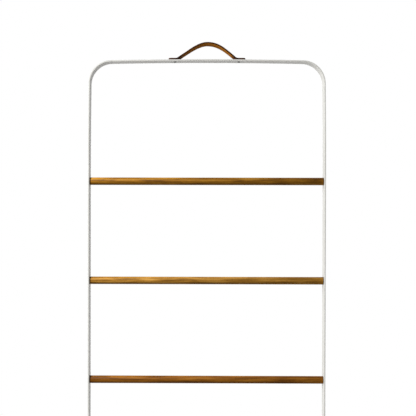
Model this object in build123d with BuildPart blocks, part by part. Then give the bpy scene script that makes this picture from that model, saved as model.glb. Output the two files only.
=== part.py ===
from build123d import *
import os
from math import atan, cos, degrees, radians, sin

os.makedirs("parts", exist_ok=True)

# Hoop: flat steel bar in the shape of an upside-down U. Its wide face looks along X on the rails
# and along Z on the top bar, so only its thin edge faces the front (-Y).
frame_width = 520
frame_height = 1700
bar_depth = 30
bar_thickness = 3
bar_edge_radius = 0.6
corner_radius = 50
top_crown = 2.2
shoulder_tuck = 1.5
shoulder_length = 205

# Rungs: round oak bars between the rails, counted from the top
rung_count = 6
rung_diameter = 16.5
rung_spacing = 218.4
top_rung_drop = 265.6
rung_end_chamfer = 0.5
washer_thickness = 0.8

# Rung fixings: an M4 countersunk screw through the rail into a threaded insert in the wood
screw_diameter = 3.9
screw_length = 17
screw_tip_chamfer = 0.6
screw_hole = 4.5
countersink_width = 9
head_sink = 0.2
head_width = 8.56
socket_width = 2.5
socket_depth = 1.4
insert_diameter = 6.9
insert_bore = 4
insert_length = 13
insert_pocket_width = 7
insert_pocket_depth = 15

# Carry strap: a leather strip that arches over the middle of the top bar
strap_width = 25
strap_thickness = 3.2
strap_half_length = 84
strap_tab_corner = 6
strap_rise = 37.5
strap_slope = 37
strap_fold_radius = 7
strap_crown_radius = 52
strap_clearance = 0.05

# Strap fixings: a post with a low cap on the leather, and a screw that enters it from below
post_offset = 70
post_hole = 4.6
post_diameter = 4.4
post_bore = 3
post_cap_width = 8
post_cap_height = 1.1
post_cap_rounding = 0.6
strap_screw_diameter = 2.9
strap_screw_length = 4.6
strap_screw_head_width = 5.6
strap_screw_head_height = 1.3
strap_screw_head_rounding = 0.5
strap_screw_slot_width = 0.9
strap_screw_slot_depth = 0.6

# Foot caps: rubber sleeves on the two lower ends of the bar
cap_wall = 2
cap_floor = 4
cap_height = 22
cap_corner = 2
cap_edge_rounding = 0.8
cap_clearance = 0.05

# Worked out from the values above
rail_axis = (frame_width - bar_thickness) / 2
rail_inner_face = frame_width / 2 - bar_thickness
bend_radius = corner_radius - bar_thickness / 2
shoulder_angle = 2 * degrees(atan(shoulder_tuck / shoulder_length))
shoulder_radius = shoulder_length / sin(radians(shoulder_angle))
crown_half_span = rail_axis - shoulder_tuck - bend_radius
crown_angle = 2 * degrees(atan(top_crown / crown_half_span))
bend_reach = bend_radius * (cos(radians(shoulder_angle)) - sin(radians(crown_angle)))
crown_radius = (rail_axis - shoulder_tuck - bend_reach) / sin(radians(crown_angle))
bend_drop = bend_radius * (cos(radians(crown_angle)) - sin(radians(shoulder_angle)))
crown_drop = crown_radius * (1 - cos(radians(crown_angle)))
straight_rail_top = frame_height - bar_thickness / 2 - crown_drop - bend_drop - shoulder_length
rung_heights = [frame_height - top_rung_drop - n * rung_spacing for n in range(rung_count)]
rung_length = 2 * (rail_inner_face - washer_thickness)


def crown_sag(x):
    """How far the top bar lies below its highest point, at a distance x from the middle."""
    return crown_radius - (crown_radius**2 - x**2) ** 0.5


def rung_end_planes(distance, outward):
    """A plane at both ends of every rung, a distance from the middle of the ladder."""
    return [
        Plane(origin=(side * distance, 0, height), x_dir=(0, 1, 0), z_dir=(side * outward, 0, 0))
        for height in rung_heights
        for side in (-1, 1)
    ]


def save(piece, name):
    """Labels a finished piece and writes it as a STEP file."""
    piece.part.label = name
    export_step(piece.part, f"parts/{name}.step")


# Rails: each runs up from its foot cap and leans in a little above the top rung
with BuildPart() as left_rail:
    with BuildLine(Plane.XZ) as rail_path:
        straight = Line((-rail_axis, cap_floor), (-rail_axis, straight_rail_top))
        JernArc(straight @ 1, straight % 1, shoulder_radius, -shoulder_angle)
    with BuildSketch(Plane(origin=(-rail_axis, 0, cap_floor))):
        RectangleRounded(bar_thickness, bar_depth, bar_edge_radius)
    sweep()
    with Locations(*rung_end_planes(frame_width / 2, 1)):
        CounterSinkHole(screw_hole / 2, countersink_width / 2, 2 * bar_thickness, 90)
save(left_rail, "left_rail")

with BuildPart() as right_rail:
    add(left_rail.part.mirror(Plane.YZ))
save(right_rail, "right_rail")


# Top bow: both bends and the crowned bar between them, welded to the rails below the bends
bow_start = rail_path.line @ 1
bow_tangent = rail_path.line % 1
with BuildPart() as top_bow:
    with BuildLine(Plane.XZ):
        bend_angle = 90 - shoulder_angle - crown_angle
        bend = JernArc(bow_start, bow_tangent, bend_radius, -bend_angle)
        JernArc(bend @ 1, bend % 1, crown_radius, -crown_angle)
        mirror(about=Plane.YZ)
    across = (bow_tangent.Z, 0, -bow_tangent.X)
    with BuildSketch(Plane(origin=bow_start, x_dir=across, z_dir=bow_tangent)):
        RectangleRounded(bar_thickness, bar_depth, bar_edge_radius)
    sweep()
    with Locations((-post_offset, 0, frame_height), (post_offset, 0, frame_height)):
        Hole(post_hole / 2, 4 * bar_thickness)
save(top_bow, "top_bow")


# Rungs, with a blind pocket for a threaded insert in each end
for number, height in enumerate(rung_heights, start=1):
    with BuildPart() as rung:
        with BuildSketch(Plane(origin=(-rung_length / 2, 0, height), z_dir=(1, 0, 0))):
            Circle(rung_diameter / 2)
        extrude(amount=rung_length)
        chamfer(rung.edges().filter_by(GeomType.CIRCLE), rung_end_chamfer)
        for side in (-1, 1):
            with Locations(Plane(origin=(side * rung_length / 2, 0, height), z_dir=(side, 0, 0))):
                Hole(insert_pocket_width / 2, insert_pocket_depth)
    save(rung, f"rung_{number}")


# Threaded inserts, one in each rung end
with BuildPart() as rung_inserts:
    with BuildSketch(*rung_end_planes(rung_length / 2, -1)):
        Circle(insert_diameter / 2)
        Circle(insert_bore / 2, mode=Mode.SUBTRACT)
    extrude(amount=insert_length)
save(rung_inserts, "rung_inserts")


# Thin washers between the wood and the rails
with BuildPart() as rung_washers:
    with BuildSketch(*rung_end_planes(rung_length / 2, 1)):
        Circle(rung_diameter / 2)
        Circle(screw_hole / 2, mode=Mode.SUBTRACT)
    extrude(amount=washer_thickness)
save(rung_washers, "rung_washers")


# One countersunk screw, its head's top at the origin and its shank pointing down
cone_height = (head_width - screw_diameter) / 2
with BuildPart() as countersunk_screw:
    with BuildSketch(Plane.XZ):
        with BuildLine():
            Polyline(
                (0, 0),
                (head_width / 2, 0),
                (screw_diameter / 2, -cone_height),
                (screw_diameter / 2, screw_tip_chamfer - screw_length),
                (screw_diameter / 2 - screw_tip_chamfer, -screw_length),
                (0, -screw_length),
                close=True,
            )
        make_face()
    revolve(axis=Axis.Z)
    with BuildSketch(Plane.XY):
        RegularPolygon(socket_width / 2, 6, major_radius=False)
    extrude(amount=-socket_depth, mode=Mode.SUBTRACT)

# The twelve rung screws, set just below the outer faces of the rails
with BuildPart() as rung_screws:
    with Locations(*rung_end_planes(frame_width / 2 - head_sink, 1)):
        add(countersunk_screw.part)
save(rung_screws, "rung_screws")


# Carry strap, swept along its middle line from the left tab to the right tab
strap_base = frame_height - crown_sag(post_offset - post_cap_width / 2) + strap_clearance
strap_middle = strap_base + strap_thickness / 2
middle_rise = frame_height + strap_rise - strap_thickness / 2 - strap_middle
slope = radians(strap_slope)
arcs_rise = (strap_fold_radius + strap_crown_radius) * (1 - cos(slope))
arcs_reach = (strap_fold_radius + strap_crown_radius) * sin(slope)
leg_length = (middle_rise - arcs_rise) / sin(slope)
fold_start = arcs_reach + leg_length * cos(slope)
with BuildPart() as carry_strap:
    with BuildLine(Plane.XZ):
        tab = Line((-strap_half_length, strap_middle), (-fold_start, strap_middle))
        fold = JernArc(tab @ 1, tab % 1, strap_fold_radius, strap_slope)
        leg = PolarLine(fold @ 1, leg_length, direction=fold % 1)
        JernArc(leg @ 1, leg % 1, strap_crown_radius, -strap_slope)
        mirror(about=Plane.YZ)
    strap_end = Plane(
        origin=(-strap_half_length, 0, strap_middle), x_dir=(0, 1, 0), z_dir=(1, 0, 0)
    )
    with BuildSketch(strap_end):
        Rectangle(strap_width, strap_thickness)
    sweep()
    with BuildSketch(Plane.XY.offset(strap_base - strap_thickness)):
        RectangleRounded(2 * strap_half_length, strap_width, strap_tab_corner)
    extrude(amount=2 * strap_rise, mode=Mode.INTERSECT)
    with Locations((-post_offset, 0, strap_base), (post_offset, 0, strap_base)):
        Cylinder(post_hole / 2, 4 * strap_thickness, mode=Mode.SUBTRACT)
save(carry_strap, "carry_strap")


# Strap posts: a low rounded cap on each tab, with a bored stem down through leather and steel
stem_bottom = frame_height - bar_thickness
stem_top = strap_base + strap_thickness
with BuildPart() as strap_posts:
    with BuildSketch(Plane.XY.offset(stem_top)):
        with Locations((-post_offset, 0), (post_offset, 0)):
            Circle(post_cap_width / 2)
    extrude(amount=post_cap_height)
    fillet(strap_posts.edges().group_by(Axis.Z)[-1], post_cap_rounding)
    with BuildSketch(Plane.XY.offset(stem_bottom)):
        with Locations((-post_offset, 0), (post_offset, 0)):
            Circle(post_diameter / 2)
    extrude(amount=stem_top - stem_bottom)
    with BuildSketch(Plane.XY.offset(stem_bottom)):
        with Locations((-post_offset, 0), (post_offset, 0)):
            Circle(post_bore / 2)
    extrude(amount=stem_top - stem_bottom - post_cap_height / 2, mode=Mode.SUBTRACT)
save(strap_posts, "strap_posts")


# Strap screws: slotted heads that bear on the underside of the top bar
head_top = frame_height - bar_thickness - crown_sag(post_offset + strap_screw_head_width / 2)
with BuildPart() as strap_screws:
    with BuildSketch(Plane.XY.offset(head_top)):
        with Locations((-post_offset, 0), (post_offset, 0)):
            Circle(strap_screw_head_width / 2)
    extrude(amount=-strap_screw_head_height)
    fillet(strap_screws.edges().group_by(Axis.Z)[0], strap_screw_head_rounding)
    with BuildSketch(Plane.XY.offset(head_top)):
        with Locations((-post_offset, 0), (post_offset, 0)):
            Circle(strap_screw_diameter / 2)
    extrude(amount=strap_screw_length)
    with BuildSketch(Plane.XY.offset(head_top - strap_screw_head_height)):
        with Locations((-post_offset, 0), (post_offset, 0)):
            Rectangle(strap_screw_head_width, strap_screw_slot_width)
    extrude(amount=strap_screw_slot_depth, mode=Mode.SUBTRACT)
save(strap_screws, "strap_screws")


# Foot caps: a rubber sleeve closed at the bottom, one on each rail end
for name, side in (("left_foot_cap", -1), ("right_foot_cap", 1)):
    with BuildPart() as foot_cap:
        with BuildSketch(Plane(origin=(side * rail_axis, 0, 0))):
            RectangleRounded(bar_thickness + 2 * cap_wall, bar_depth + 2 * cap_wall, cap_corner)
        extrude(amount=cap_height)
        fillet(foot_cap.faces().sort_by(Axis.Z)[0].edges(), cap_edge_rounding)
        fillet(foot_cap.faces().sort_by(Axis.Z)[-1].edges(), cap_edge_rounding)
        with BuildSketch(Plane(origin=(side * rail_axis, 0, cap_floor))):
            RectangleRounded(
                bar_thickness + cap_clearance, bar_depth + cap_clearance, bar_edge_radius
            )
        extrude(amount=cap_height, mode=Mode.SUBTRACT)
    save(foot_cap, name)
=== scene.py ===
import bpy
import math
from mathutils import Euler, Matrix, Vector


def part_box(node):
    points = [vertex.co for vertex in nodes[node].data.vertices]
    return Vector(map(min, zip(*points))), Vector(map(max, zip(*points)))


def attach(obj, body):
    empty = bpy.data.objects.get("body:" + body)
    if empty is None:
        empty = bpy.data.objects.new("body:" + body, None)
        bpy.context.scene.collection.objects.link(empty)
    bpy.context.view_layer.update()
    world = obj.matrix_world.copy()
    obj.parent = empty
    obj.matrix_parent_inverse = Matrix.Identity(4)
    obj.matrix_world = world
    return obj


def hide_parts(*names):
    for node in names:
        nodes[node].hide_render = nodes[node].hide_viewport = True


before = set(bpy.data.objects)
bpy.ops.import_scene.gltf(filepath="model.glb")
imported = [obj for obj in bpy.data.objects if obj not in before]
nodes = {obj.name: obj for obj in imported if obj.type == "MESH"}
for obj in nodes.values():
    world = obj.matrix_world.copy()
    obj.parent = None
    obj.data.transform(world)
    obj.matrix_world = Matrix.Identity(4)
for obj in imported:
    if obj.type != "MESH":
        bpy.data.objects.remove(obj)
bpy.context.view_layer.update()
mm = 0.001
rungNames = [f"rung_{number}" for number in range(1, 7)]
print("frame loaded:", len(nodes), "nodes")


def linearColour(hexText):
    # sRGB hex to the linear colour that the shaders want
    parts = [int(hexText[i:i + 2], 16) / 255 for i in (1, 3, 5)]
    parts = [p / 12.92 if p <= 0.04045 else ((p + 0.055) / 1.055) ** 2.4 for p in parts]
    return (*parts, 1.0)


def addNode(tree, kind, settings=None, links=None):
    # A setting names a property of the node, one of its sockets, or "stops" for the places and
    # sRGB colours along a ramp. A link feeds a socket from another node.
    node = tree.nodes.new(kind)
    for name, value in (settings or {}).items():
        if name == "stops":
            points = node.color_ramp.elements
            while len(points) < len(value):
                points.new(0.5)
            for point, (place, colour) in zip(points, value):
                point.position = place
                point.color = linearColour(colour)
        elif isinstance(name, int) or name in node.inputs:
            node.inputs[name].default_value = value
        else:
            setattr(node, name, value)
    for name, source in (links or {}).items():
        tree.links.new(source, node.inputs[name])
    return node


def newMaterial(name):
    material = bpy.data.materials.new(name)
    material.use_nodes = True
    material.node_tree.nodes.clear()
    return material, material.node_tree


def dress(material, names):
    # gives the carried-over parts their finish
    for name in names:
        for slot in nodes[name].material_slots:
            slot.material = material


def deselectAll():
    if bpy.context.mode != "OBJECT":
        bpy.ops.object.mode_set(mode="OBJECT")
    bpy.ops.object.select_all(action="DESELECT")


# Camera: level with the upper rungs, a little left of the middle, and close to a straight front view.
cameraSet = {
    "place": (-0.030, -1.850, 1.3615),  # metres
    "turn": -0.395,  # degrees towards +X
    "tilt": -0.50,  # degrees above the horizon
    "roll": 0.11,
    "lens": 72.72,  # mm
    "sensor": 36,  # mm
    "across": 0.05,  # how far the lens is shifted, as shares of the frame
    "rise": 0.0331,
}
deselectAll()
bpy.ops.object.camera_add(location=cameraSet["place"])
camera = bpy.context.object
camera.name = "studioCamera"
aim = Euler((math.radians(90 + cameraSet["tilt"]), 0, math.radians(-cameraSet["turn"])))
aim = aim.to_matrix() @ Matrix.Rotation(math.radians(cameraSet["roll"]), 3, "Z")
camera.rotation_euler = aim.to_euler()
camera.data.sensor_width = cameraSet["sensor"]
camera.data.lens = cameraSet["lens"]
camera.data.shift_x = cameraSet["across"]
camera.data.shift_y = cameraSet["rise"]
bpy.context.scene.camera = camera
print("camera placed")


# Stage: a pale floor that melts into a white surround.
stageSet = {
    "floorRadius": 2.4,  # metres
    "fadeFrom": 0.7,
    "fadeTo": 2.352,
    "floorColour": "#F2F1EE",
    "pale": 0.5,  # the share of the white surround that shows in the floor itself
    "surround": 1.0,  # brightness of the white behind the ladder, also in reflections
    "ambient": 0.21,  # what the same white gives as soft light
}
deselectAll()
bpy.ops.mesh.primitive_circle_add(vertices=96, radius=stageSet["floorRadius"], fill_type="NGON")
floor = bpy.context.object
floor.name = "studioFloor"

floorPaint, tree = newMaterial("mattFloorPaint")
place = addNode(tree, "ShaderNodeTexCoord")
away = addNode(tree, "ShaderNodeVectorMath", {"operation": "LENGTH"}, {0: place.outputs["Object"]})
fade = addNode(tree, "ShaderNodeMapRange", {
    "From Min": stageSet["fadeFrom"], "From Max": stageSet["fadeTo"],
    "To Min": stageSet["pale"], "interpolation_type": "SMOOTHERSTEP",
}, {"Value": away.outputs["Value"]})
paint = addNode(tree, "ShaderNodeBsdfPrincipled", {
    "Base Color": linearColour(stageSet["floorColour"]), "Roughness": 0.85,
})
clear = addNode(tree, "ShaderNodeBsdfTransparent")
blend = addNode(tree, "ShaderNodeMixShader", links={
    0: fade.outputs["Result"], 1: paint.outputs["BSDF"], 2: clear.outputs["BSDF"],
})
addNode(tree, "ShaderNodeOutputMaterial", links={"Surface": blend.outputs["Shader"]})
floor.data.materials.append(floorPaint)

# the surround is bright where it is seen or mirrored, and dim as a light
world = bpy.data.worlds.new("whiteSurround")
bpy.context.scene.world = world
world.use_nodes = True
tree = world.node_tree
tree.nodes.clear()
white = linearColour("#FFFFFF")
ray = addNode(tree, "ShaderNodeLightPath")
seen = addNode(tree, "ShaderNodeMath", {"operation": "MAXIMUM"}, {
    0: ray.outputs["Is Camera Ray"], 1: ray.outputs["Is Glossy Ray"],
})
ambient = addNode(tree, "ShaderNodeBackground", {"Color": white, "Strength": stageSet["ambient"]})
surround = addNode(tree, "ShaderNodeBackground", {"Color": white, "Strength": stageSet["surround"]})
both = addNode(tree, "ShaderNodeMixShader", links={
    0: seen.outputs["Value"], 1: ambient.outputs["Background"], 2: surround.outputs["Background"],
})
addNode(tree, "ShaderNodeOutputWorld", links={"Surface": both.outputs["Shader"]})
bpy.context.scene.view_settings.view_transform = "Standard"
print("stage ready")


# Lights: a tall box on the left and a broad one in front for the steel and the leather, and a narrow
# box high up that only the rungs receive, aimed wide of the ladder so that it falls off along them.
lightSet = {
    "leftBox": {"place": (-2.2, -1.1, 1.9), "aim": (0, 0, 1.3), "size": (1.2, 2.4), "watts": 75},
    "frontBox": {"place": (-0.9, -2.8, 2.2), "aim": (0, 0, 1.1), "size": (1.6, 1.6), "watts": 22},
    "rungBox": {"place": (-0.6, -0.85, 2.25), "aim": (-2.1, 0, 1.0), "size": (0.15, 0.5), "watts": 80},
}
for name, values in lightSet.items():
    lamp = bpy.data.lights.new(name, "AREA")
    lamp.shape = "RECTANGLE"
    lamp.size, lamp.size_y = values["size"]
    lamp.energy = values["watts"]
    stand = bpy.data.objects.new(name, lamp)
    stand.location = values["place"]
    toward = Vector(values["aim"]) - Vector(values["place"])
    stand.rotation_euler = toward.to_track_quat("-Z", "Y").to_euler()
    bpy.context.scene.collection.objects.link(stand)
    linked = bpy.data.collections.new(name + "Rungs")
    for rungName in rungNames:
        linked.objects.link(nodes[rungName])
    for member in linked.collection_objects:
        member.light_linking.link_state = "INCLUDE" if name == "rungBox" else "EXCLUDE"
    stand.light_linking.receiver_collection = linked
print("lights ready")


# Polyester powder baked on steel: a satin off-white skin with a faint orange peel. The grit left by
# the powder is drawn at 0.3 mm, coarser than it is, and only makes the gloss a little uneven.
powderSet = {
    "colour": "#DAD9D4", "shade": "#D3D2CC",
    "cloud": 110 * mm, "peel": 1.0 * mm, "peelDepth": 0.02 * mm, "grit": 0.3 * mm,
    "roughness": (0.34, 0.46),
}
powderCoat, tree = newMaterial("bakedPowderCoat")
place = addNode(tree, "ShaderNodeTexCoord")
cloud = addNode(tree, "ShaderNodeTexNoise", {"Scale": 1 / powderSet["cloud"], "Detail": 3}, {
    "Vector": place.outputs["Object"],
})
peel = addNode(tree, "ShaderNodeTexNoise", {"Scale": 1 / powderSet["peel"], "Detail": 1}, {
    "Vector": place.outputs["Object"],
})
grit = addNode(tree, "ShaderNodeTexNoise", {"Scale": 1 / powderSet["grit"], "Detail": 2}, {
    "Vector": place.outputs["Object"],
})
tone = addNode(tree, "ShaderNodeValToRGB", {
    "stops": [(0.35, powderSet["shade"]), (0.65, powderSet["colour"])],
}, {"Fac": cloud.outputs["Fac"]})
bump = addNode(tree, "ShaderNodeBump", {"Strength": 0.05, "Distance": powderSet["peelDepth"]}, {
    "Height": peel.outputs["Fac"],
})
rough = addNode(tree, "ShaderNodeMapRange", {
    "To Min": powderSet["roughness"][0], "To Max": powderSet["roughness"][1],
}, {"Value": grit.outputs["Fac"]})
shader = addNode(tree, "ShaderNodeBsdfPrincipled", {"IOR": 1.5}, {
    "Base Color": tone.outputs["Color"], "Roughness": rough.outputs["Result"],
    "Normal": bump.outputs["Normal"],
})
addNode(tree, "ShaderNodeOutputMaterial", links={"Surface": shader.outputs["BSDF"]})
dress(powderCoat, ["left_rail", "right_rail", "top_bow"])
print("powder coat on")


# Smoked oak, turned and oiled: wandering growth bands that run with the rung, fine fibres, and short
# open pores gathered in the darker early wood. Each upper rung comes from another board, so it has
# its own tone. Widths and lengths are across and along the rung.
oakSet = {
    "late": "#B28444", "middle": "#936626", "early": "#62400F", "pore": "#3C2208",
    "figure": (12 * mm, 60 * mm),
    "band": (3.2 * mm, 90 * mm),
    "fibre": (0.5 * mm, 14 * mm),
    "openPore": (0.22 * mm, 3.2 * mm),
    "wander": 3 * mm,  # how far the figure pushes the bands about
    "fromLog": (0.274, 0.62, 0.06),  # where in the log the rungs are taken from
    "boards": {"rung_1": "#E2DA8C", "rung_2": "#FFFFE0", "rung_3": "#DCC47E"},  # tints
    "roughness": (0.5, 0.62),
    "fibreDepth": 0.06 * mm,
}
oak, tree = newMaterial("smokedOakOiled")
place = addNode(tree, "ShaderNodeTexCoord")
streaks = {}
# the figure is drawn first, because it pushes the bands about
for name, detail in (("figure", 2), ("band", 3), ("fibre", 3), ("openPore", 0)):
    width, length = oakSet[name]
    drawn = addNode(tree, "ShaderNodeMapping", {
        "Location": oakSet["fromLog"], "Scale": (width / length, 1, 1),
    }, {"Vector": wander.outputs["Vector"] if name == "band" else place.outputs["Object"]})
    streaks[name] = addNode(tree, "ShaderNodeTexNoise", {"Scale": 1 / width, "Detail": detail}, {
        "Vector": drawn.outputs["Vector"],
    })
    if name == "figure":
        wander = addNode(tree, "ShaderNodeVectorMath", {
            "operation": "MULTIPLY_ADD", 1: (0, oakSet["wander"], oakSet["wander"]),
        }, {0: streaks["figure"].outputs["Color"], 2: place.outputs["Object"]})
grain = addNode(tree, "ShaderNodeMix", {"data_type": "FLOAT", 0: 0.3}, {
    2: streaks["band"].outputs["Fac"], 3: streaks["fibre"].outputs["Fac"],
})
figured = addNode(tree, "ShaderNodeMix", {"data_type": "FLOAT", 0: 0.35}, {
    2: grain.outputs[0], 3: streaks["figure"].outputs["Fac"],
})
wood = addNode(tree, "ShaderNodeValToRGB", {
    "stops": [(0.38, oakSet["early"]), (0.5, oakSet["middle"]), (0.61, oakSet["late"])],
}, {"Fac": figured.outputs[0]})
# a pore opens where its noise is high and the wood is early
early = addNode(tree, "ShaderNodeMath", {"operation": "MULTIPLY_ADD", 1: -0.5}, {
    0: figured.outputs[0], 2: streaks["openPore"].outputs["Fac"],
})
porous = addNode(tree, "ShaderNodeMapRange", {"From Min": 0.36, "From Max": 0.46, "To Max": 0.7}, {
    "Value": early.outputs[0],
})
tint = addNode(tree, "ShaderNodeMix", {"data_type": "RGBA", 7: linearColour(oakSet["pore"])}, {
    0: porous.outputs["Result"], 6: wood.outputs["Color"],
})
height = addNode(tree, "ShaderNodeSeparateXYZ", links={"Vector": place.outputs["Object"]})
for name, colour in oakSet["boards"].items():
    low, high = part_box(name)
    ownBoard = addNode(tree, "ShaderNodeMath", {
        "operation": "COMPARE", 1: (low.z + high.z) / 2, 2: high.z - low.z,
    }, {0: height.outputs["Z"]})
    tint = addNode(tree, "ShaderNodeMix", {
        "data_type": "RGBA", "blend_type": "MULTIPLY", 7: linearColour(colour),
    }, {0: ownBoard.outputs["Value"], 6: tint.outputs[2]})
relief = addNode(tree, "ShaderNodeMath", {"operation": "SUBTRACT"}, {
    0: streaks["fibre"].outputs["Fac"], 1: porous.outputs["Result"],
})
bump = addNode(tree, "ShaderNodeBump", {"Strength": 0.2, "Distance": oakSet["fibreDepth"]}, {
    "Height": relief.outputs["Value"],
})
rough = addNode(tree, "ShaderNodeMapRange", {
    "To Min": oakSet["roughness"][0], "To Max": oakSet["roughness"][1],
}, {"Value": streaks["fibre"].outputs["Fac"]})
shader = addNode(tree, "ShaderNodeBsdfPrincipled", {"IOR": 1.45, "Specular IOR Level": 0.12}, {
    "Base Color": tint.outputs[2], "Roughness": rough.outputs["Result"], "Normal": bump.outputs["Normal"],
})
addNode(tree, "ShaderNodeOutputMaterial", links={"Surface": shader.outputs["BSDF"]})
dress(oak, rungNames)
print("rungs dressed")


# Carry strap: cut flat from saddle leather, its edges rounded and creased, then bent along its arch.
strapSet = {
    "width": 25.6 * mm,
    "thickness": 3.6 * mm,
    "endRound": 6 * mm,
    "endSegments": 7,
    "edgeRound": 0.8 * mm,
    "edgeSegments": 3,
    "sharpest": 50,  # degrees: edges that turn more than this are rounded
    "smoothest": 45,  # degrees: faces that meet at less than this are shaded as one
    "creaseIn": 2.2 * mm,  # the pressed line that follows the edge
    "creaseHalf": 0.5 * mm,
    "creaseDeep": 0.25 * mm,
    "capRadius": 4 * mm,
    "capDent": 0.4 * mm,  # how far the post caps press into the leather
    "dentReach": 3 * mm,
    "cup": 0.9 * mm,  # how far the edges curl up over the crown
    "lean": 1.2 * mm,  # how far the back edge sits below the front one there
    "cupReach": 48 * mm,
    "cut": 1.6 * mm,  # spacing of the cuts that let it bend
    "cutsEachSide": 6,  # of its middle line
    "tabEnd": 84 * mm,
    "tabHandle": 4 * mm,
    "foldStart": 68.4 * mm,
    "foldHandle": 3.2 * mm,
    "leftLeg": {"foot": (-62 * mm, 2.5 * mm), "slope": 34, "handle": 28 * mm},
    "crown": (0.8 * mm, 33.2 * mm),
    "crownHandle": 18 * mm,
    "rightLeg": {"foot": (60 * mm, 3.5 * mm), "slope": -42, "handle": 34 * mm},
}

# the arch: a curve from the left tab's end to the right tab's end
tabHandle, foldHandle = strapSet["tabHandle"], strapSet["foldHandle"]
leftLeg, rightLeg = strapSet["leftLeg"], strapSet["rightLeg"]
archKnots = [  # place, slope in degrees, and the handles behind and ahead
    ((-strapSet["tabEnd"], 0), 0, tabHandle, tabHandle),
    ((-strapSet["foldStart"], 0), 0, tabHandle, foldHandle),
    (leftLeg["foot"], leftLeg["slope"], foldHandle, leftLeg["handle"]),
    (strapSet["crown"], 0, strapSet["crownHandle"], strapSet["crownHandle"]),
    (rightLeg["foot"], rightLeg["slope"], rightLeg["handle"], foldHandle),
    ((strapSet["foldStart"], 0), 0, foldHandle, tabHandle),
    ((strapSet["tabEnd"], 0), 0, tabHandle, tabHandle),
]
deselectAll()
bpy.ops.curve.primitive_bezier_curve_add(location=(0, 0, 0))
arch = bpy.context.object
arch.data.dimensions = "3D"
arch.data.twist_mode = "Z_UP"
spline = arch.data.splines[0]
spline.resolution_u = 64
spline.bezier_points.add(len(archKnots) - len(spline.bezier_points))
for point, (spot, slope, behind, ahead) in zip(spline.bezier_points, archKnots):
    along = Vector((math.cos(math.radians(slope)), 0, math.sin(math.radians(slope))))
    point.handle_left_type = point.handle_right_type = "FREE"
    point.co = (spot[0], 0, spot[1])
    point.handle_left = point.co - along * behind
    point.handle_right = point.co + along * ahead
strapLength = spline.calc_length(resolution=256)

# the flat blank, with rounded ends and a line inset from its edge
deselectAll()
bpy.ops.mesh.primitive_plane_add(size=1, location=(0, 0, 0))
strap = bpy.context.object
strap.name = "leatherCarryStrap"
bpy.ops.object.mode_set(mode="EDIT")
bpy.ops.transform.resize(value=(strapLength, strapSet["width"], 1))
bpy.ops.transform.translate(value=(strapLength / 2, 0, 0))
bpy.ops.mesh.bevel(affect="VERTICES", offset=strapSet["endRound"], segments=strapSet["endSegments"])
bpy.ops.mesh.inset(thickness=strapSet["creaseIn"] - strapSet["creaseHalf"])
bpy.ops.mesh.inset(thickness=strapSet["creaseHalf"])
crease = strap.vertex_groups.new(name="crease")
bpy.ops.object.vertex_group_assign()
bpy.ops.mesh.inset(thickness=strapSet["creaseHalf"])
bpy.ops.object.vertex_group_remove_from()
for number in range(1, round(strapLength / strapSet["cut"])):
    bpy.ops.mesh.select_all(action="SELECT")
    bpy.ops.mesh.bisect(plane_co=(number * strapSet["cut"], 0, 0), plane_no=(1, 0, 0))
for number in range(-strapSet["cutsEachSide"], strapSet["cutsEachSide"] + 1):
    bpy.ops.mesh.select_all(action="SELECT")
    bpy.ops.mesh.bisect(plane_co=(0, number * strapSet["cut"], 0), plane_no=(0, 1, 0))
bpy.ops.object.mode_set(mode="OBJECT")
print("strap blank cut:", len(strap.data.vertices), "vertices")

# its thickness, then the crease pressed in and the leather dented round the post caps
solid = strap.modifiers.new("thickness", "SOLIDIFY")
solid.thickness = strapSet["thickness"]
solid.offset = 0
bpy.ops.object.modifier_apply(modifier="thickness")
halfSkin = strapSet["thickness"] / 2
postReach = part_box("strap_posts")[1].x - strapSet["capRadius"]
flatPosts = [strapSet["tabEnd"] - postReach, strapLength - strapSet["tabEnd"] + postReach]
for vertex in strap.data.vertices:
    if vertex.co.z < halfSkin / 2:
        continue
    if any(link.group == crease.index and link.weight > 0.5 for link in vertex.groups):
        vertex.co.z -= strapSet["creaseDeep"]
    for postX in flatPosts:
        gap = math.hypot(vertex.co.x - postX, vertex.co.y) - strapSet["capRadius"]
        fall = max(0, 1 - max(0, gap) / strapSet["dentReach"])
        vertex.co.z -= strapSet["capDent"] * fall * fall
rounded = strap.modifiers.new("edges", "BEVEL")
rounded.width = strapSet["edgeRound"]
rounded.segments = strapSet["edgeSegments"]
rounded.limit_method = "ANGLE"
rounded.angle_limit = math.radians(strapSet["sharpest"])
bpy.ops.object.modifier_apply(modifier="edges")

# the leather's grain follows it round the bends, so its flat place is kept for the material
flat = strap.data.attributes.new("flatPlace", "FLOAT_VECTOR", "POINT")
for vertex, kept in zip(strap.data.vertices, flat.data):
    kept.vector = (vertex.co.x - strapLength / 2, vertex.co.y, vertex.co.z)

# the edges curl up where the strap bends over, then it takes the arch
for vertex in strap.data.vertices:
    over = max(0, 1 - ((vertex.co.x - strapLength / 2) / strapSet["cupReach"]) ** 2)
    across = vertex.co.y / strapSet["width"]
    vertex.co.z += over * (strapSet["cup"] * (2 * across) ** 2 - strapSet["lean"] * across)
bent = strap.modifiers.new("bend", "CURVE")
bent.object = arch
bent.deform_axis = "POS_X"
bpy.ops.object.modifier_apply(modifier="bend")
strap.location.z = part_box("carry_strap")[0].z + halfSkin
bpy.ops.object.transform_apply(location=True, rotation=False, scale=False)
bpy.data.objects.remove(arch)
bpy.ops.object.mode_set(mode="EDIT")
bpy.ops.mesh.select_all(action="SELECT")
bpy.ops.mesh.normals_make_consistent(inside=False)
bpy.ops.object.mode_set(mode="OBJECT")
bpy.ops.object.shade_smooth_by_angle(angle=math.radians(strapSet["smoothest"]))
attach(strap, "root")
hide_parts("carry_strap")
print("strap bent:", len(strap.data.polygons), "faces")

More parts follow.
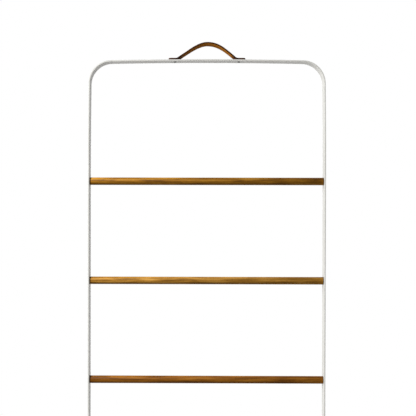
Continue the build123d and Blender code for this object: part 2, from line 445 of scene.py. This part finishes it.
# Vegetable-tanned leather, waxed: a pebbled grain on top, burnished dark edges, and a napped flesh
# side that is lighter and duller. The pebble is drawn at 0.9 mm, about twice its real size.
leatherSet = {
    "grain": "#6E3C0E", "grainDark": "#4C2604", "edge": "#3C1E01",
    "flesh": "#B8741F", "fleshDark": "#8A5410",
    "pebble": 0.9 * mm, "nap": 0.5 * mm, "cloud": 12 * mm, "reliefDepth": 0.1 * mm,
    "skinDepth": (0.45 * mm, 0.75 * mm),  # where the dyed grain side gives way to the edge
    "fleshDepth": (1.35 * mm, 1.65 * mm),
    # painted shade that darkens the leather around each fold
    "paintedFoldShade": "#8A7C6A",
    "paintedShadeInside": 6 * mm,  # the painted shade is centred this far inside the start of each fold
    "paintedShadeReach": (3 * mm, 13 * mm),
    "roughness": (0.5, 0.85),
}
leather, tree = newMaterial("waxedSaddleLeather")
kept = addNode(tree, "ShaderNodeAttribute", {"attribute_name": "flatPlace", "attribute_type": "GEOMETRY"})
parts = addNode(tree, "ShaderNodeSeparateXYZ", links={"Vector": kept.outputs["Vector"]})
isTop = addNode(tree, "ShaderNodeMapRange", {
    "From Min": halfSkin - leatherSet["skinDepth"][1], "From Max": halfSkin - leatherSet["skinDepth"][0],
}, {"Value": parts.outputs["Z"]})
isFlesh = addNode(tree, "ShaderNodeMapRange", {
    "From Min": -leatherSet["fleshDepth"][0], "From Max": -leatherSet["fleshDepth"][1],
}, {"Value": parts.outputs["Z"]})
cloud = addNode(tree, "ShaderNodeTexNoise", {"Scale": 1 / leatherSet["cloud"], "Detail": 3}, {
    "Vector": kept.outputs["Vector"],
})
pebble = addNode(tree, "ShaderNodeTexVoronoi", {
    "feature": "SMOOTH_F1", "Scale": 1 / leatherSet["pebble"],
}, {"Vector": kept.outputs["Vector"]})
nap = addNode(tree, "ShaderNodeTexNoise", {
    "Scale": 1 / leatherSet["nap"], "Detail": 4, "Roughness": 0.7,
}, {"Vector": kept.outputs["Vector"]})
grainTone = addNode(tree, "ShaderNodeValToRGB", {
    "stops": [(0.35, leatherSet["grainDark"]), (0.65, leatherSet["grain"])],
}, {"Fac": cloud.outputs["Fac"]})
fleshTone = addNode(tree, "ShaderNodeValToRGB", {
    "stops": [(0.35, leatherSet["fleshDark"]), (0.65, leatherSet["flesh"])],
}, {"Fac": nap.outputs["Fac"]})
skin = addNode(tree, "ShaderNodeMix", {"data_type": "RGBA", 6: linearColour(leatherSet["edge"])}, {
    0: isTop.outputs["Result"], 7: grainTone.outputs["Color"],
})
both = addNode(tree, "ShaderNodeMix", {"data_type": "RGBA"}, {
    0: isFlesh.outputs["Result"], 6: skin.outputs[2], 7: fleshTone.outputs["Color"],
})
# painted shade: the leather is darkened around the folds, where shade falls
paintedShadeCentre = strapLength / 2 - strapSet["tabEnd"] + strapSet["foldStart"] - leatherSet["paintedShadeInside"]
outward = addNode(tree, "ShaderNodeMath", {"operation": "ABSOLUTE"}, {0: parts.outputs["X"]})
beyond = addNode(tree, "ShaderNodeMath", {"operation": "SUBTRACT", 1: paintedShadeCentre}, {
    0: outward.outputs["Value"],
})
fromFold = addNode(tree, "ShaderNodeMath", {"operation": "ABSOLUTE"}, {0: beyond.outputs["Value"]})
paintedShadeMask = addNode(tree, "ShaderNodeMapRange", {
    "From Min": leatherSet["paintedShadeReach"][1], "From Max": leatherSet["paintedShadeReach"][0],
}, {"Value": fromFold.outputs["Value"]})
withPaintedShade = addNode(tree, "ShaderNodeMix", {
    "data_type": "RGBA", "blend_type": "MULTIPLY", 7: linearColour(leatherSet["paintedFoldShade"]),
}, {0: paintedShadeMask.outputs["Result"], 6: both.outputs[2]})
relief = addNode(tree, "ShaderNodeMath", {"operation": "MULTIPLY_ADD", 1: 0.4}, {
    0: nap.outputs["Fac"], 2: pebble.outputs["Distance"],
})
bump = addNode(tree, "ShaderNodeBump", {"Strength": 0.3, "Distance": leatherSet["reliefDepth"]}, {
    "Height": relief.outputs["Value"],
})
rough = addNode(tree, "ShaderNodeMapRange", {
    "To Min": leatherSet["roughness"][0], "To Max": leatherSet["roughness"][1],
}, {"Value": isFlesh.outputs["Result"]})
shader = addNode(tree, "ShaderNodeBsdfPrincipled", {"IOR": 1.48, "Specular IOR Level": 0.07}, {
    "Base Color": withPaintedShade.outputs[2], "Roughness": rough.outputs["Result"],
    "Normal": bump.outputs["Normal"],
})
addNode(tree, "ShaderNodeOutputMaterial", links={"Surface": shader.outputs["BSDF"]})
strap.data.materials.append(leather)
print("strap dressed")


# Turned metals: bright stainless steel, brass, and screws blackened with oxide below the strap. The
# tool marks are drawn at 0.25 mm, coarser than real ones, and only make the gloss uneven.
metalSet = {
    "turnedStainlessSteel": {
        "colour": "#B4B3AE", "roughness": (0.25, 0.42), "parts": ["rung_screws", "strap_posts"],
    },
    "turnedBrass": {"colour": "#B98A45", "roughness": (0.3, 0.45), "parts": ["rung_inserts"]},
    "blackOxideSteel": {"colour": "#3A3A36", "roughness": (0.35, 0.5), "parts": ["strap_screws"]},
}
toolMark, toolDepth = 0.25 * mm, 0.02 * mm
for name, values in metalSet.items():
    metal, tree = newMaterial(name)
    place = addNode(tree, "ShaderNodeTexCoord")
    marks = addNode(tree, "ShaderNodeTexNoise", {"Scale": 1 / toolMark, "Detail": 2}, {
        "Vector": place.outputs["Object"],
    })
    rough = addNode(tree, "ShaderNodeMapRange", {
        "To Min": values["roughness"][0], "To Max": values["roughness"][1],
    }, {"Value": marks.outputs["Fac"]})
    bump = addNode(tree, "ShaderNodeBump", {"Strength": 0.15, "Distance": toolDepth}, {
        "Height": marks.outputs["Fac"],
    })
    shader = addNode(tree, "ShaderNodeBsdfPrincipled", {
        "Base Color": linearColour(values["colour"]), "Metallic": 1.0,
    }, {"Roughness": rough.outputs["Result"], "Normal": bump.outputs["Normal"]})
    addNode(tree, "ShaderNodeOutputMaterial", links={"Surface": shader.outputs["BSDF"]})
    dress(metal, values["parts"])
print("metals dressed")

# Dull dark stuffs: washers punched from vulcanised fibre, nearly black with a fibrous grain, and foot
# caps of moulded rubber, dark grey with the mould's fine grain and scuffed paler near the floor.
dullSet = {
    "punchedFibre": {
        "dark": "#15120F", "light": "#1E1A16", "worn": "#1E1A16", "grain": 0.4 * mm, "relief": 0.05 * mm,
        "roughness": (0.75, 0.85), "indexOfRefraction": 1.5, "parts": ["rung_washers"],
    },
    "mouldedRubber": {
        "dark": "#232221", "light": "#2B2A29", "worn": "#4C4A47", "grain": 0.5 * mm, "relief": 0.08 * mm,
        "roughness": (0.6, 0.8), "indexOfRefraction": 1.52, "parts": ["left_foot_cap", "right_foot_cap"],
    },
}
scuffHeight = 3 * mm
for name, values in dullSet.items():
    stuff, tree = newMaterial(name)
    place = addNode(tree, "ShaderNodeTexCoord")
    strands = addNode(tree, "ShaderNodeTexNoise", {"Scale": 1 / values["grain"], "Detail": 4}, {
        "Vector": place.outputs["Object"],
    })
    tone = addNode(tree, "ShaderNodeValToRGB", {
        "stops": [(0.3, values["dark"]), (0.7, values["light"])],
    }, {"Fac": strands.outputs["Fac"]})
    height = addNode(tree, "ShaderNodeSeparateXYZ", links={"Vector": place.outputs["Object"]})
    scuff = addNode(tree, "ShaderNodeMapRange", {"From Min": scuffHeight, "From Max": 0, "To Max": 0.6}, {
        "Value": height.outputs["Z"],
    })
    worn = addNode(tree, "ShaderNodeMix", {"data_type": "RGBA", 7: linearColour(values["worn"])}, {
        0: scuff.outputs["Result"], 6: tone.outputs["Color"],
    })
    bump = addNode(tree, "ShaderNodeBump", {"Strength": 0.3, "Distance": values["relief"]}, {
        "Height": strands.outputs["Fac"],
    })
    rough = addNode(tree, "ShaderNodeMapRange", {
        "To Min": values["roughness"][0], "To Max": values["roughness"][1],
    }, {"Value": strands.outputs["Fac"]})
    shader = addNode(tree, "ShaderNodeBsdfPrincipled", {"IOR": values["indexOfRefraction"]}, {
        "Base Color": worn.outputs[2], "Roughness": rough.outputs["Result"],
        "Normal": bump.outputs["Normal"],
    })
    addNode(tree, "ShaderNodeOutputMaterial", links={"Surface": shader.outputs["BSDF"]})
    dress(stuff, values["parts"])
print("washers and foot caps dressed")
